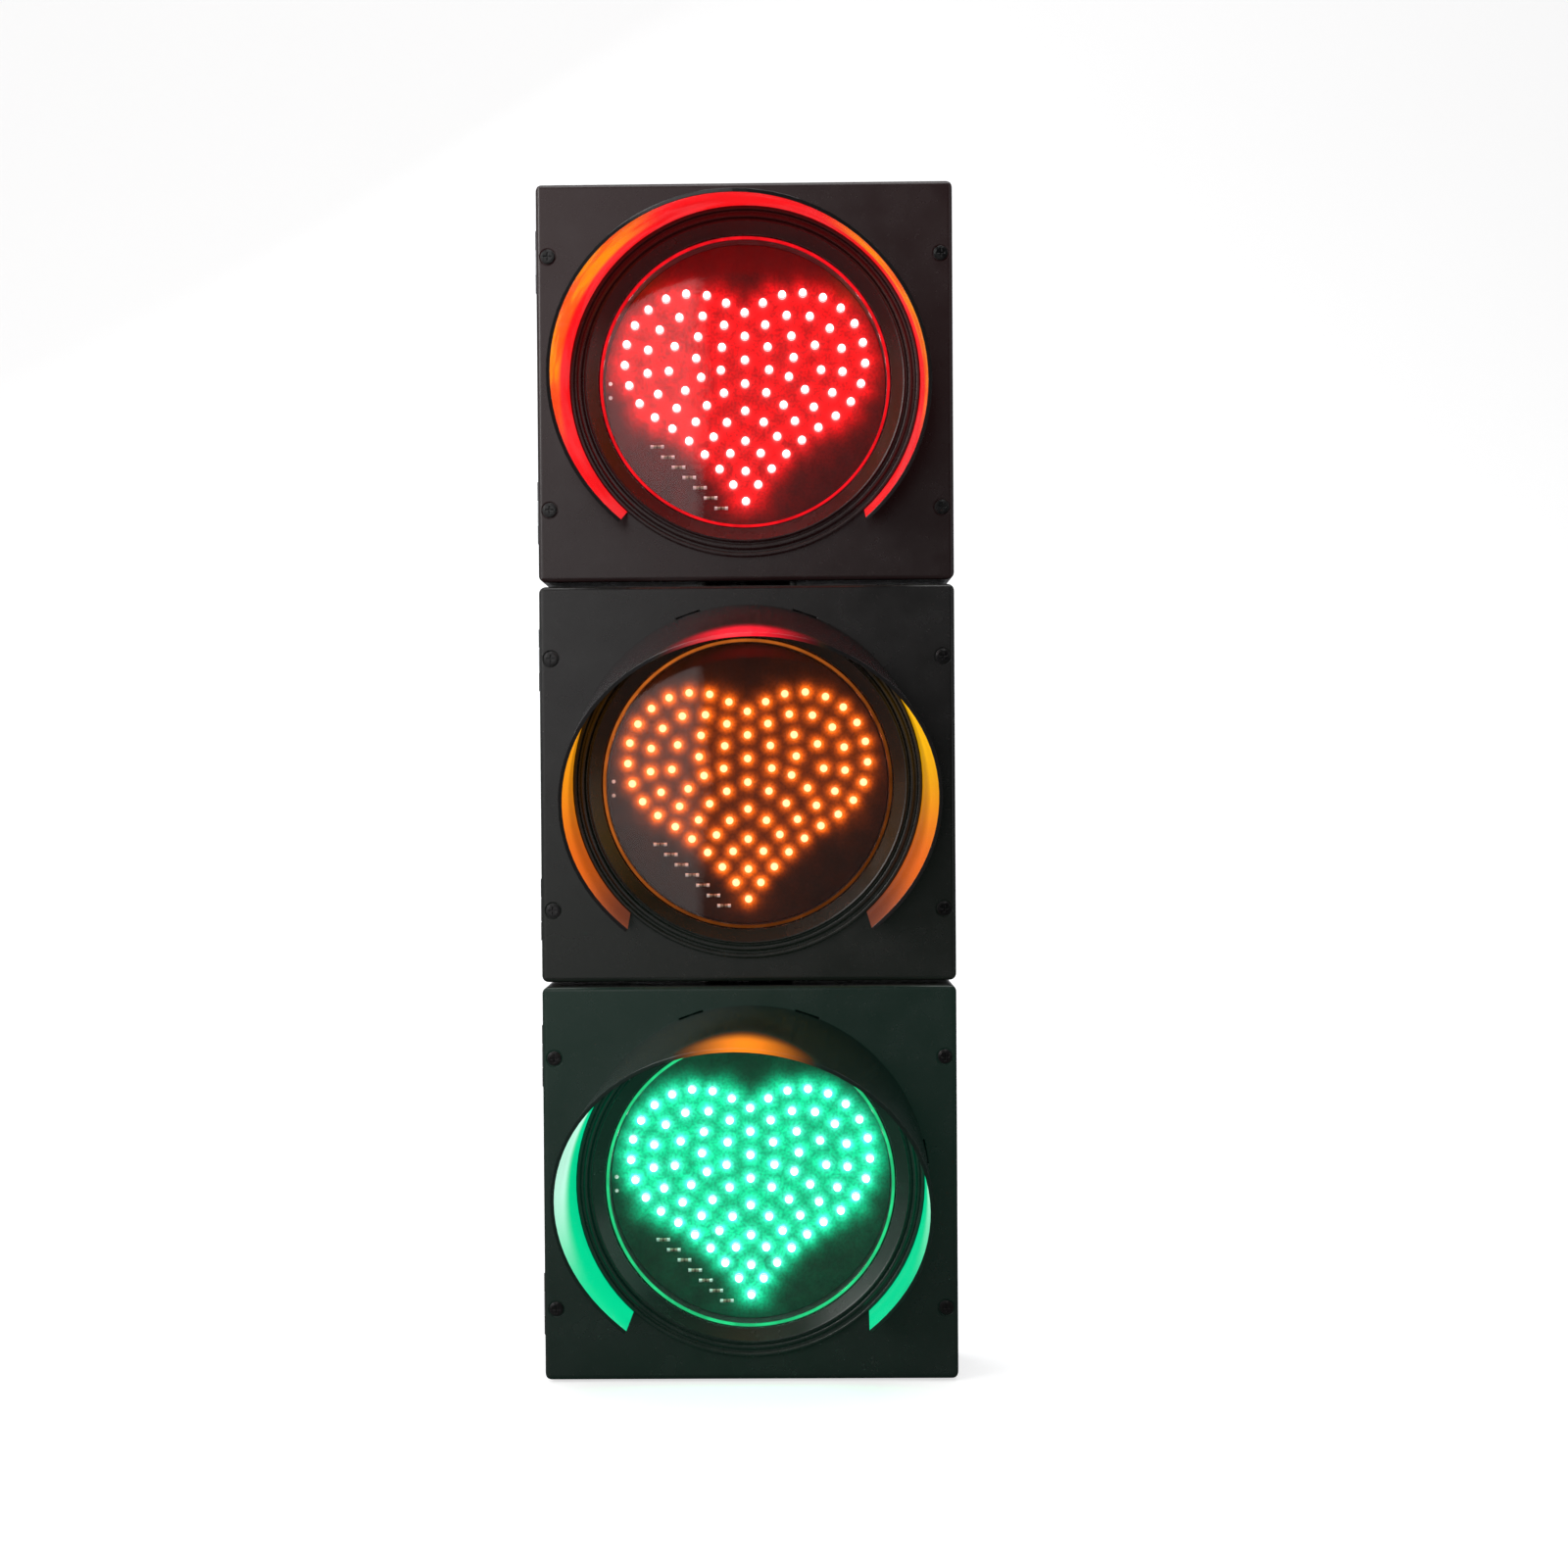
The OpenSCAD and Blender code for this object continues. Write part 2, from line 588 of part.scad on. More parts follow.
module at_joints() {
    for (j = [1, 2]) translate([0, 0, j * section_pitch]) children();
}

module at_bolts() {
    for (a = [90, 210, 330]) rotate([0, 0, a]) translate([bolt_circle_r, 0, 0]) children();
}

module coupling_rings() {
    color(STEEL) at_joints() for (s = [0, 1]) mirror([0, 0, s]) difference() {
        translate([0, 0, wall_stack]) cylinder(r = boss_r, h = coupling_t);
        translate([0, 0, wall_stack - 1]) cylinder(r = bore_r + 1, h = coupling_t + 2);
        at_bolts() translate([0, 0, wall_stack - 1]) cylinder(r = bolt_hole_r, h = coupling_t + 2, $fn = 32);
    }
}

module coupling_bolts() {
    head_h = 4;
    under = -wall_stack - coupling_t;
    color(STEEL) at_joints() at_bolts() union() {
        translate([0, 0, under - head_h]) cylinder(r = 5.77, h = head_h, $fn = 6);
        translate([0, 0, under - 0.5]) cylinder(r = 3, h = -2 * under + 8, $fn = 32);
    }
}

module coupling_nuts() {
    color(STEEL) at_joints() at_bolts() translate([0, 0, wall_stack + coupling_t]) difference() {
        cylinder(r = 5.77, h = 5, $fn = 6);
        translate([0, 0, -1]) cylinder(r = 3.1, h = 7, $fn = 32);
    }
}

// ---- wiring ----

// Six-way block on the middle section's back wall, with a clamp screw in each way
module terminal_block() {
    ways = 6;
    w = 12;
    front = back_y - wall - 16;
    color([0.85, 0.85, 0.82]) difference() {
        translate([0, 0, terminal_z]) block([-ways * w / 2, front, -terminal_h], [ways * w / 2, back_y - wall, terminal_h]);
        for (k = [0:ways - 1]) translate([(k - ways / 2 + 0.5) * w, 0, terminal_z])
            rod(3.2, front + 5, front - 1, $fn = 32);
    }
    color([0.8, 0.65, 0.3]) for (k = [0:ways - 1])
        translate([(k - ways / 2 + 0.5) * w, 0, terminal_z]) difference() {
            rod(3, front + 5, front + 2, $fn = 32);
            block([-3, front + 1, -0.4], [3, front + 3, 0.4]);
        }
}

function blend_point(p, i, u) =
    let (a = p[max(0, i - 1)], b = p[i], c = p[i + 1], d = p[min(len(p) - 1, i + 2)])
    0.5 * (2 * b + (c - a) * u + (2 * a - 5 * b + 4 * c - d) * u * u
        + (3 * b - a - 3 * c + d) * u * u * u);

// Smooth curve through route points, in steps pieces between neighbours
function smooth(p, steps = 4) = concat(
    [for (i = [0:len(p) - 2], k = [0:steps - 1]) blend_point(p, i, k / steps)], [p[len(p) - 1]]);

function unit(v) = v / norm(v);

// Tube of radius r along points, each ring turned as little as possible from the last
module tube(points, r) {
    sides = 8;
    n = len(points);
    way = [for (i = [0:n - 1]) unit(points[min(n - 1, i + 1)] - points[max(0, i - 1)])];
    ups = [for (i = 0, u = unit(cross(way[0], [1, 0.2, 0.3])); i < n;
        i = i + 1, u = i < n ? unit(u - way[i] * (u * way[i])) : u) u];
    rings = [for (i = [0:n - 1]) let (v = cross(way[i], ups[i]))
        for (k = [0:sides - 1]) let (a = 360 * k / sides)
            points[i] + r * (cos(a) * ups[i] + sin(a) * v)];
    walls = [for (i = [0:n - 2], k = [0:sides - 1]) let (m = (k + 1) % sides)
        each [[i * sides + k, (i + 1) * sides + k, (i + 1) * sides + m],
            [i * sides + k, (i + 1) * sides + m, i * sides + m]]];
    ends = [[for (k = [0:sides - 1]) k], [for (k = [sides - 1:-1:0]) (n - 1) * sides + k]];
    polyhedron(points = rings, faces = concat(walls, ends), convexity = 8);
}

module lead_at(i, route) {
    color([0.2, 0.2, 0.22]) translate([0, 0, section_z(i)]) tube(smooth(route), lead_r);
}

// ---- drawing ----

housing_at(GREEN);  // green_housing
door_at(GREEN);  // green_door
door_gasket_at(GREEN);  // green_door_gasket
visor_at(GREEN);  // green_visor
lens_at(GREEN);  // green_lens
lens_gasket_at(GREEN);  // green_lens_gasket
led_board_at(GREEN);  // green_led_board
leds_at(GREEN);  // green_leds
resistors_at(GREEN);  // green_resistors
module_case_at(GREEN);  // green_module_case
driver_at(GREEN);  // green_driver
module_clips_at(GREEN);  // green_module_clips
clip_screws_at(GREEN);  // green_clip_screws
hinge_leaves_at(GREEN);  // green_hinge_leaves
hinge_screws_at(GREEN);  // green_hinge_screws
lock_screw_at(GREEN, 1);  // green_lock_screw_upper
lock_screw_at(GREEN, -1);  // green_lock_screw_lower
housing_at(AMBER);  // amber_housing
door_at(AMBER);  // amber_door
door_gasket_at(AMBER);  // amber_door_gasket
visor_at(AMBER);  // amber_visor
lens_at(AMBER);  // amber_lens
lens_gasket_at(AMBER);  // amber_lens_gasket
led_board_at(AMBER);  // amber_led_board
leds_at(AMBER);  // amber_leds
resistors_at(AMBER);  // amber_resistors
module_case_at(AMBER);  // amber_module_case
driver_at(AMBER);  // amber_driver
module_clips_at(AMBER);  // amber_module_clips
clip_screws_at(AMBER);  // amber_clip_screws
hinge_leaves_at(AMBER);  // amber_hinge_leaves
hinge_screws_at(AMBER);  // amber_hinge_screws
lock_screw_at(AMBER, 1);  // amber_lock_screw_upper
lock_screw_at(AMBER, -1);  // amber_lock_screw_lower
housing_at(RED);  // red_housing
door_at(RED);  // red_door
door_gasket_at(RED);  // red_door_gasket
visor_at(RED);  // red_visor
lens_at(RED);  // red_lens
lens_gasket_at(RED);  // red_lens_gasket
led_board_at(RED);  // red_led_board
leds_at(RED);  // red_leds
resistors_at(RED);  // red_resistors
module_case_at(RED);  // red_module_case
driver_at(RED);  // red_driver
module_clips_at(RED);  // red_module_clips
clip_screws_at(RED);  // red_clip_screws
hinge_leaves_at(RED);  // red_hinge_leaves
hinge_screws_at(RED);  // red_hinge_screws
lock_screw_at(RED, 1);  // red_lock_screw_upper
lock_screw_at(RED, -1);  // red_lock_screw_lower
hinge_pins();
lock_inserts();
coupling_rings();
coupling_bolts();
coupling_nuts();
terminal_block();
lead_at(GREEN, concat(GREEN_START, GREEN_END));  // green_lead
lead_at(AMBER, concat(TO_WALL, AMBER_END));  // amber_lead
lead_at(RED, concat(TO_WALL, RED_END));  // red_lead
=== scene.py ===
import math

import bpy
import numpy as np
from mathutils import Euler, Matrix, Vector


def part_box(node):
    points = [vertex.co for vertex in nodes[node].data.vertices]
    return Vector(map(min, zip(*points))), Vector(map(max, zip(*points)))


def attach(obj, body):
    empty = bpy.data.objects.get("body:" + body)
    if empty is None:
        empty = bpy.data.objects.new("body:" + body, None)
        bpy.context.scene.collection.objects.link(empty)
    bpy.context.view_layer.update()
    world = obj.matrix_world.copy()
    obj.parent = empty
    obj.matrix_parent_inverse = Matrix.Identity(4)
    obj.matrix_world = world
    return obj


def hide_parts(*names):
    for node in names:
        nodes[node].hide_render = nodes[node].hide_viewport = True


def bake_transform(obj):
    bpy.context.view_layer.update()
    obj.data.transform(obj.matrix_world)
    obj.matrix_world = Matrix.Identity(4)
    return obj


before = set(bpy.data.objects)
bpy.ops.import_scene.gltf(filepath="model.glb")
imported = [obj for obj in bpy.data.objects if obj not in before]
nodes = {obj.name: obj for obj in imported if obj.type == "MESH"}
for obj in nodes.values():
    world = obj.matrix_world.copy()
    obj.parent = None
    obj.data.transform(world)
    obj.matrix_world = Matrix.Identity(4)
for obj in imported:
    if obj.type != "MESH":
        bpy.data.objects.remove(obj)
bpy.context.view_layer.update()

SECTIONS = ("green", "amber", "red")
CENTRE = {"green": 0.135, "amber": 0.405, "red": 0.675}
FACE_Y = -0.070
HEAD_MIDDLE_Z = 0.4
VISOR_LENGTH = 0.150
DUST = (0.17, 0.16, 0.145)
LIGHT = {"red": (1.0, 0.001, 0.004), "amber": (1.0, 0.21, 0.004), "green": (0.0, 0.88, 0.34)}
HOT = {"red": (1.0, 0.62, 0.62), "amber": (1.0, 0.20, 0.085), "green": (0.62, 1.0, 0.86)}


# ---- material helpers ----

class Shader:
    """A node tree being built, with short calls for the nodes used here."""

    def __init__(self, name):
        self.mat = bpy.data.materials.new(name)
        self.mat.use_nodes = True
        self.tree = self.mat.node_tree
        self.tree.nodes.clear()
        self.coord = self.add("ShaderNodeTexCoord").outputs["Object"]

    def add(self, kind, **values):
        n = self.tree.nodes.new(kind)
        for key, value in values.items():
            setattr(n, key, value)
        return n

    def put(self, socket, value):
        if isinstance(value, bpy.types.NodeSocket):
            self.tree.links.new(value, socket)
        elif isinstance(value, (tuple, list)) and len(value) == 3 and socket.type == "RGBA":
            socket.default_value = (*value, 1.0)
        else:
            socket.default_value = value

    def math(self, op, a, b=0.0, c=0.0, clamp=False):
        n = self.add("ShaderNodeMath", operation=op, use_clamp=clamp)
        for s, v in zip(n.inputs, (a, b, c)):
            self.put(s, v)
        return n.outputs[0]

    def noise(self, scale, detail=3.0, stretch=None, rough=0.5, kind="ShaderNodeTexNoise"):
        n = self.add(kind)
        n.inputs["Scale"].default_value = scale
        if "Detail" in n.inputs:
            n.inputs["Detail"].default_value = detail
        if "Roughness" in n.inputs:
            n.inputs["Roughness"].default_value = rough
        vector = self.coord
        if stretch:
            m = self.add("ShaderNodeMapping")
            m.inputs["Scale"].default_value = stretch
            self.put(m.inputs["Vector"], vector)
            vector = m.outputs[0]
        self.put(n.inputs["Vector"], vector)
        return n.outputs[0]

    def ramp(self, value, low, high, to_low=0.0, to_high=1.0, smooth=True):
        n = self.add("ShaderNodeMapRange", interpolation_type="SMOOTHSTEP" if smooth else "LINEAR")
        for s, v in zip(n.inputs, (value, low, high, to_low, to_high)):
            self.put(s, v)
        return n.outputs[0]

    def mix(self, share, a, b):
        n = self.add("ShaderNodeMix", data_type="RGBA")
        self.put(n.inputs[0], share)
        self.put(n.inputs[6], a)
        self.put(n.inputs[7], b)
        return n.outputs[2]

    def bump(self, height, strength, distance, normal=None):
        n = self.add("ShaderNodeBump")
        n.inputs["Strength"].default_value = strength
        n.inputs["Distance"].default_value = distance
        self.put(n.inputs["Height"], height)
        if normal is not None:
            self.put(n.inputs["Normal"], normal)
        return n.outputs[0]

    def edges(self, radius):
        """(soft normal, mask that is 1 on sharp edges)"""
        b = self.add("ShaderNodeBevel", samples=6)
        b.inputs["Radius"].default_value = radius
        g = self.add("ShaderNodeNewGeometry")
        d = self.add("ShaderNodeVectorMath", operation="DOT_PRODUCT")
        self.put(d.inputs[0], b.outputs[0])
        self.put(d.inputs[1], g.outputs["Normal"])
        return b.outputs[0], self.ramp(d.outputs["Value"], 0.995, 0.86)

    def upward(self):
        g = self.add("ShaderNodeNewGeometry")
        s = self.add("ShaderNodeSeparateXYZ")
        self.put(s.inputs[0], g.outputs["Normal"])
        return s.outputs[2]

    def radius(self, z):
        """Distance in metres from the lens axis at height z, and the parts of the place."""
        s = self.add("ShaderNodeSeparateXYZ")
        self.put(s.inputs[0], self.coord)
        dz = self.math("SUBTRACT", s.outputs[2], z)
        r = self.math("SQRT", self.math("ADD", self.math("MULTIPLY", s.outputs[0], s.outputs[0]),
                                        self.math("MULTIPLY", dz, dz)))
        return r, s.outputs[0], s.outputs[1], dz

    def principled(self, **values):
        n = self.add("ShaderNodeBsdfPrincipled")
        for key, value in values.items():
            self.put(n.inputs[key.replace("_", " ")], value)
        return n

    def done(self, surface):
        out = self.add("ShaderNodeOutputMaterial")
        if isinstance(surface, bpy.types.Node):
            surface = surface.outputs[0]
        self.put(out.inputs["Surface"], surface)
        return self.mat


def moulded(name, base, worn, rough, grain=0.05, edge=0.0009, dust=0.25, streaks=0.0,
            speckled=0.16, lit=None, painted_glow=None, uneven=0.22):
    """Satin moulded plastic: fine grain, uneven gloss, lighter worn edges and settled dust; on visors
    and door fronts it also carries painted light, as emission.
    """
    s = Shader(name)
    soft, edge_mask = s.edges(edge)
    large = s.noise(9.0, 4.0)
    patches = s.noise(42.0, 5.0)
    fine = s.noise(1500.0, 2.0)
    speckle = s.ramp(s.noise(420.0, 1.0), 0.68, 0.76)
    chips = s.math("MULTIPLY", edge_mask, s.ramp(s.noise(160.0, 4.0), 0.40, 0.66), clamp=True)
    settle = s.math("MULTIPLY", s.ramp(s.upward(), 0.35, 0.95), s.ramp(large, 0.30, 0.75, 0.25, 1.0))
    settle = s.math("ADD", settle, s.math("MULTIPLY", speckle, speckled))
    dusty = s.math("MULTIPLY", settle, dust, clamp=True)
    colour = s.mix(s.ramp(patches, 0.3, 0.75, 0.0, 0.5), base, tuple(1.45 * c for c in base))
    colour = s.mix(s.math("MULTIPLY", chips, 0.55), colour, worn)
    colour = s.mix(dusty, colour, DUST)
    gloss = s.math("ADD", rough, s.math("MULTIPLY", s.math("SUBTRACT", patches, 0.5), uneven))
    gloss = s.math("ADD", gloss, s.math("MULTIPLY", dusty, 0.35))
    if streaks:
        lines = s.noise(60.0, 3.0, stretch=(1.0, 1.0, 9.0))
        gloss = s.math("ADD", gloss, s.math("MULTIPLY", s.math("SUBTRACT", lines, 0.5), streaks))
    normal = s.bump(fine, grain, 0.0002, soft)
    normal = s.bump(patches, 0.05, 0.0006, normal)
    if lit:
        normal = s.bump(fine, grain, 0.00004, soft)
    gloss = s.math("ADD", gloss, 0.0, clamp=True)
    surface = {"Base_Color": colour, "Roughness": gloss, "Normal": normal}
    if lit:
        surface["Emission_Color"], surface["Emission_Strength"] = visor_light(s, lit)
    # Painted light: the module's glow on its own door front, as emission.
    if painted_glow:
        surface["Emission_Color"], surface["Emission_Strength"] = door_light(s, painted_glow)
    return s.done(s.principled(**surface))


def visor_light(s, colour):
    """Colour and strength of the painted light on a visor's inner wall, as emission: (colour, strength).
    """
    r, x, y, dz = s.radius(CENTRE[colour])
    g = s.add("ShaderNodeNewGeometry")
    n = s.add("ShaderNodeSeparateXYZ")
    s.put(n.inputs[0], g.outputs["Normal"])
    facing = s.math("ADD", s.math("MULTIPLY", x, n.outputs[0]), s.math("MULTIPLY", dz, n.outputs[2]))
    inner = s.ramp(s.math("DIVIDE", facing, r), -0.30, -0.75)
    inner = s.math("MULTIPLY", inner, s.ramp(y, FACE_Y, FACE_Y - 0.004))
    side = s.math("DIVIDE", s.math("ABSOLUTE", x), r)
    left = s.ramp(x, -0.01, 0.01, 1.0, 0.0)
    height = s.math("DIVIDE", dz, r)
    cloud = s.ramp(s.noise(26.0, 4.0), 0.35, 0.70)
    front = s.ramp(y, FACE_Y - 0.012, FACE_Y - 0.07)
    if colour == "red":
        # Painted amber light from the section below: a yellow-orange band on the red visor's lower
        # sides.
        band = s.math("MULTIPLY", s.ramp(side, 0.45, 0.80), s.ramp(height, -0.42, 0.02))
        band = s.math("MULTIPLY", band, s.ramp(front, 0.35, 0.95))
        mix = s.mix(s.ramp(cloud, 0.0, 1.0, 0.0, 0.35), (1.0, 0.008, 0.012), (1.0, 0.075, 0.085))
        band = s.math("MULTIPLY", band, s.ramp(cloud, 0.0, 0.8, 0.35, 1.0))
        mix = s.mix(band, mix, (1.0, 0.30, 0.004))
        strength = 0.92
    elif colour == "amber":
        band = s.math("MULTIPLY", s.ramp(height, -0.45, 0.25), s.ramp(left, 0.0, 1.0, 1.0, 0.55))
        mix = s.mix(band, (0.86, 0.15, 0.012), (1.0, 0.50, 0.001))
        mix = s.mix(s.ramp(height, -0.45, -0.75), mix, (0.30, 0.075, 0.04))
        strength = s.math("MULTIPLY", s.ramp(height, -0.85, -0.30, 0.75, 0.95),
                          s.ramp(front, 0.0, 0.6, 0.62, 1.0))
    else:
        pale = s.math("MULTIPLY", s.ramp(left, 0.0, 1.0, 0.55, 1.0), s.ramp(height, -0.55, 0.10))
        pale = s.math("MULTIPLY", pale, s.ramp(front, 0.1, 0.8))
        mix = s.mix(pale, (0.0, 0.70, 0.30), (0.56, 1.0, 0.80))
        strength = 0.95
    if colour != "red":
        inner = s.math("MULTIPLY", inner, s.ramp(height, 0.46, 0.70, 1.0, 0.04))
    strength = s.math("MULTIPLY", strength, inner)
    if colour != "red":
        mix, strength = gleam(s, colour, x, y, dz, r, inner, mix, strength)
    return mix, s.math("MULTIPLY", strength, s.ramp(s.noise(14.0, 3.0), 0.3, 0.7, 0.88, 1.06))


def gleam(s, colour, x, y, dz, r, inner, mix, strength):
    """Paints the reflection of the section above's light as emission, on top of a visor near its front
    edge.
    """
    hue, power, reach, wide = {"amber": ((1.0, 0.006, 0.024), 1.25, 0.060, 0.042),
                               "green": ((1.0, 0.24, 0.002), 1.20, 0.075, 0.038)}[colour]
    ahead = s.ramp(y, FACE_Y - VISOR_LENGTH + reach, FACE_Y - VISOR_LENGTH + 0.008)
    half = s.math("ADD", 0.35 * wide, s.math("MULTIPLY", ahead, 0.65 * wide))
    across = s.math("DIVIDE", s.math("ABSOLUTE", s.math("ADD", x, 0.002)), half)
    spot = s.math("MULTIPLY", s.ramp(across, 0.0, 1.45, 1.0, 0.0), s.ramp(ahead, 0.0, 0.95))
    spot = s.math("MULTIPLY", spot, s.ramp(s.math("DIVIDE", dz, r), 0.55, 0.80))
    spot = s.math("MULTIPLY", s.math("POWER", spot, 1.7), s.math("SUBTRACT", 1.0, inner))
    spot = s.math("MULTIPLY", spot, power)
    return s.mix(s.ramp(spot, 0.0, 0.04), mix, hue), s.math("ADD", strength, spot)


def door_light(s, colour):
    """Painted light: faint glow of a module as emission on the front of its own door, stronger towards
    the top and left; on the amber door the glow is greenish and stronger towards the bottom: (colour,
    strength).
    """
    r, x, y, dz = s.radius(CENTRE[colour])
    front = s.ramp(y, FACE_Y + 0.0022, FACE_Y + 0.0006)
    upper = s.math("MULTIPLY", s.ramp(dz, -0.14, 0.06, 0.45, 1.0), s.ramp(x, -0.15, 0.12, 1.0, 0.7))
    if colour == "amber":
        upper = s.ramp(dz, -0.13, 0.05, 1.0, 0.1)
    hue, power = {"red": ((1.0, 0.10, 0.11), 0.0110), "amber": ((0.25, 1.0, 0.50), 0.0030),
                  "green": ((0.02, 1.0, 0.56), 0.0130)}[colour]
    return hue, s.math("MULTIPLY", s.math("MULTIPLY", front, upper), power)


def metal(name, base, rough, brushed=0.12, tarnish=(0.30, 0.29, 0.26), metallic=1.0, level=0.5):
    s = Shader(name)
    soft, edge_mask = s.edges(0.0004)
    grain = s.noise(260.0, 2.0, stretch=(1.0, 14.0, 1.0))
    spots = s.noise(120.0, 4.0)
    colour = s.mix(s.ramp(spots, 0.48, 0.74, 0.0, 0.65), base, tarnish)
    bright = tuple(min(1.0, 1.4 * c + 0.05) for c in base)
    colour = s.mix(s.math("MULTIPLY", edge_mask, 0.45), colour, bright)
    gloss = s.math("ADD", rough, s.math("MULTIPLY", s.math("SUBTRACT", grain, 0.5), brushed))
    gloss = s.math("ADD", gloss, s.ramp(spots, 0.45, 0.75, 0.0, 0.22))
    return s.done(s.principled(Base_Color=colour, Metallic=metallic, Roughness=gloss,
                               Specular_IOR_Level=level, Normal=s.bump(grain, 0.08, 0.0002, soft)))


def rubber(name, base, rough=0.72):
    s = Shader(name)
    soft, edge_mask = s.edges(0.0007)
    fine = s.noise(700.0, 4.0)
    patches = s.noise(60.0, 4.0)
    colour = s.mix(s.ramp(patches, 0.4, 0.8, 0.0, 0.6), base, tuple(2.2 * c + 0.01 for c in base))
    colour = s.mix(s.math("MULTIPLY", edge_mask, 0.3), colour, (0.12, 0.12, 0.12))
    gloss = s.math("ADD", rough - 0.1, s.math("MULTIPLY", patches, 0.2))
    return s.done(s.principled(Base_Color=colour, Roughness=gloss,
                               Normal=s.bump(fine, 0.14, 0.0003, soft)))


BEAD_INNER = 0.0954
BEAD_OUTER = 0.0979
LENS_IOR = 1.52


def lens_material(colour):
    """Clear flat disc whose raised bead at its rim glows with painted light, as emission; on the amber
    lens the glow is stronger towards its upper left.
    """
    s = Shader(colour + "_lens_look")
    r, x, y, dz = s.radius(CENTRE[colour])
    bead = s.math("MULTIPLY", s.ramp(r, BEAD_INNER, BEAD_INNER + 0.0005),
                  s.ramp(r, BEAD_OUTER - 0.0006, BEAD_OUTER, 1.0, 0.0))
    front = s.ramp(y, FACE_Y + 0.0030, FACE_Y + 0.0018)
    bead = s.math("MULTIPLY", bead, front)
    rings = s.math("SINE", s.math("MULTIPLY", r, 5200.0))
    smear = s.noise(30.0, 5.0, stretch=(1.0, 1.0, 0.4))
    rough = s.math("ADD", 0.004, s.ramp(smear, 0.5, 0.85, 0.0, 0.05))
    normal = s.bump(s.math("ADD", s.math("MULTIPLY", rings, 0.05), s.noise(14.0, 1.0)), 0.03, 0.0004)
    gloss = s.add("ShaderNodeBsdfGlossy")
    s.put(gloss.inputs["Roughness"], rough)
    s.put(gloss.inputs["Color"], (1.0, 1.0, 1.0))
    s.put(gloss.inputs["Normal"], normal)
    clear = s.add("ShaderNodeBsdfTransparent")
    s.put(clear.inputs["Color"], (0.96, 0.97, 0.97))
    fresnel = s.add("ShaderNodeFresnel")
    fresnel.inputs["IOR"].default_value = LENS_IOR
    s.put(fresnel.inputs["Normal"], normal)
    body = s.add("ShaderNodeMixShader")
    s.put(body.inputs[0], s.math("MULTIPLY", fresnel.outputs[0], 0.5))
    s.tree.links.new(clear.outputs[0], body.inputs[1])
    s.tree.links.new(gloss.outputs[0], body.inputs[2])
    glow = s.add("ShaderNodeEmission")
    strength = {"red": 0.95, "amber": 0.34, "green": 0.8}[colour]
    if colour == "amber":
        side = s.ramp(s.math("SUBTRACT", dz, x), -0.10, 0.14, 0.35, 1.5)
        strength = s.math("MULTIPLY", side, strength)
    s.put(glow.inputs["Color"], {"red": (1.0, 0.008, 0.015), "amber": (1.0, 0.24, 0.03),
                                 "green": (0.03, 0.86, 0.30)}[colour])
    uneven = s.ramp(s.noise(70.0, 3.0), 0.25, 0.75, 0.75, 1.2)
    s.put(glow.inputs["Strength"], s.math("MULTIPLY", strength, uneven))
    rim = s.add("ShaderNodeMixShader")
    s.put(rim.inputs[0], s.math("MULTIPLY", bead, 0.93))
    s.tree.links.new(body.outputs[0], rim.inputs[1])
    s.tree.links.new(glow.outputs[0], rim.inputs[2])
    return s.done(rim)


DIODE_BACK_Y = -0.0510
DIODE_TIP_Y = -0.0550
PAD_RADIUS = (0.0039, 0.0043)
HALO_POWER = {"red": (0.45, 0.86, 0.20), "amber": (1.5, 0.110, 0.045), "green": (0.95, 0.66, 0.11)}
HALO_OUTER = {"red": (1.0, 0.001, 0.004), "amber": (1.0, 0.12, 0.004), "green": (0.0, 0.90, 0.38)}
HALO_INNER = {"red": (1.0, 0.014, 0.018), "amber": (1.0, 0.16, 0.002), "green": (0.07, 1.0, 0.70)}
STUD_X = -0.0915
STUD_HEIGHTS = (0.002, -0.0075)
STUD_RADIUS = (0.0010, 0.0016)


def diode_material(colour):
    """Clear dome: white-hot where it faces the viewer, in its own colour towards its edge."""
    s = Shader(colour + "_diode_look")
    w = s.add("ShaderNodeLayerWeight")
    w.inputs["Blend"].default_value = 0.35
    edge = s.ramp(w.outputs["Facing"], 0.35, 0.8)
    r, x, y, dz = s.radius(CENTRE[colour])
    tip = s.ramp(y, DIODE_BACK_Y, DIODE_TIP_Y)
    colour_mix = s.mix(edge, HOT[colour], LIGHT[colour])
    strength = s.math("ADD", 1.1, s.math("MULTIPLY", tip, s.ramp(edge, 0.0, 1.0, 5.0, 1.2)))
    p = s.principled(Base_Color=tuple(0.4 + 0.5 * c for c in LIGHT[colour]), Roughness=0.12,
                     Emission_Color=colour_mix, Emission_Strength=strength)
    return s.done(p)


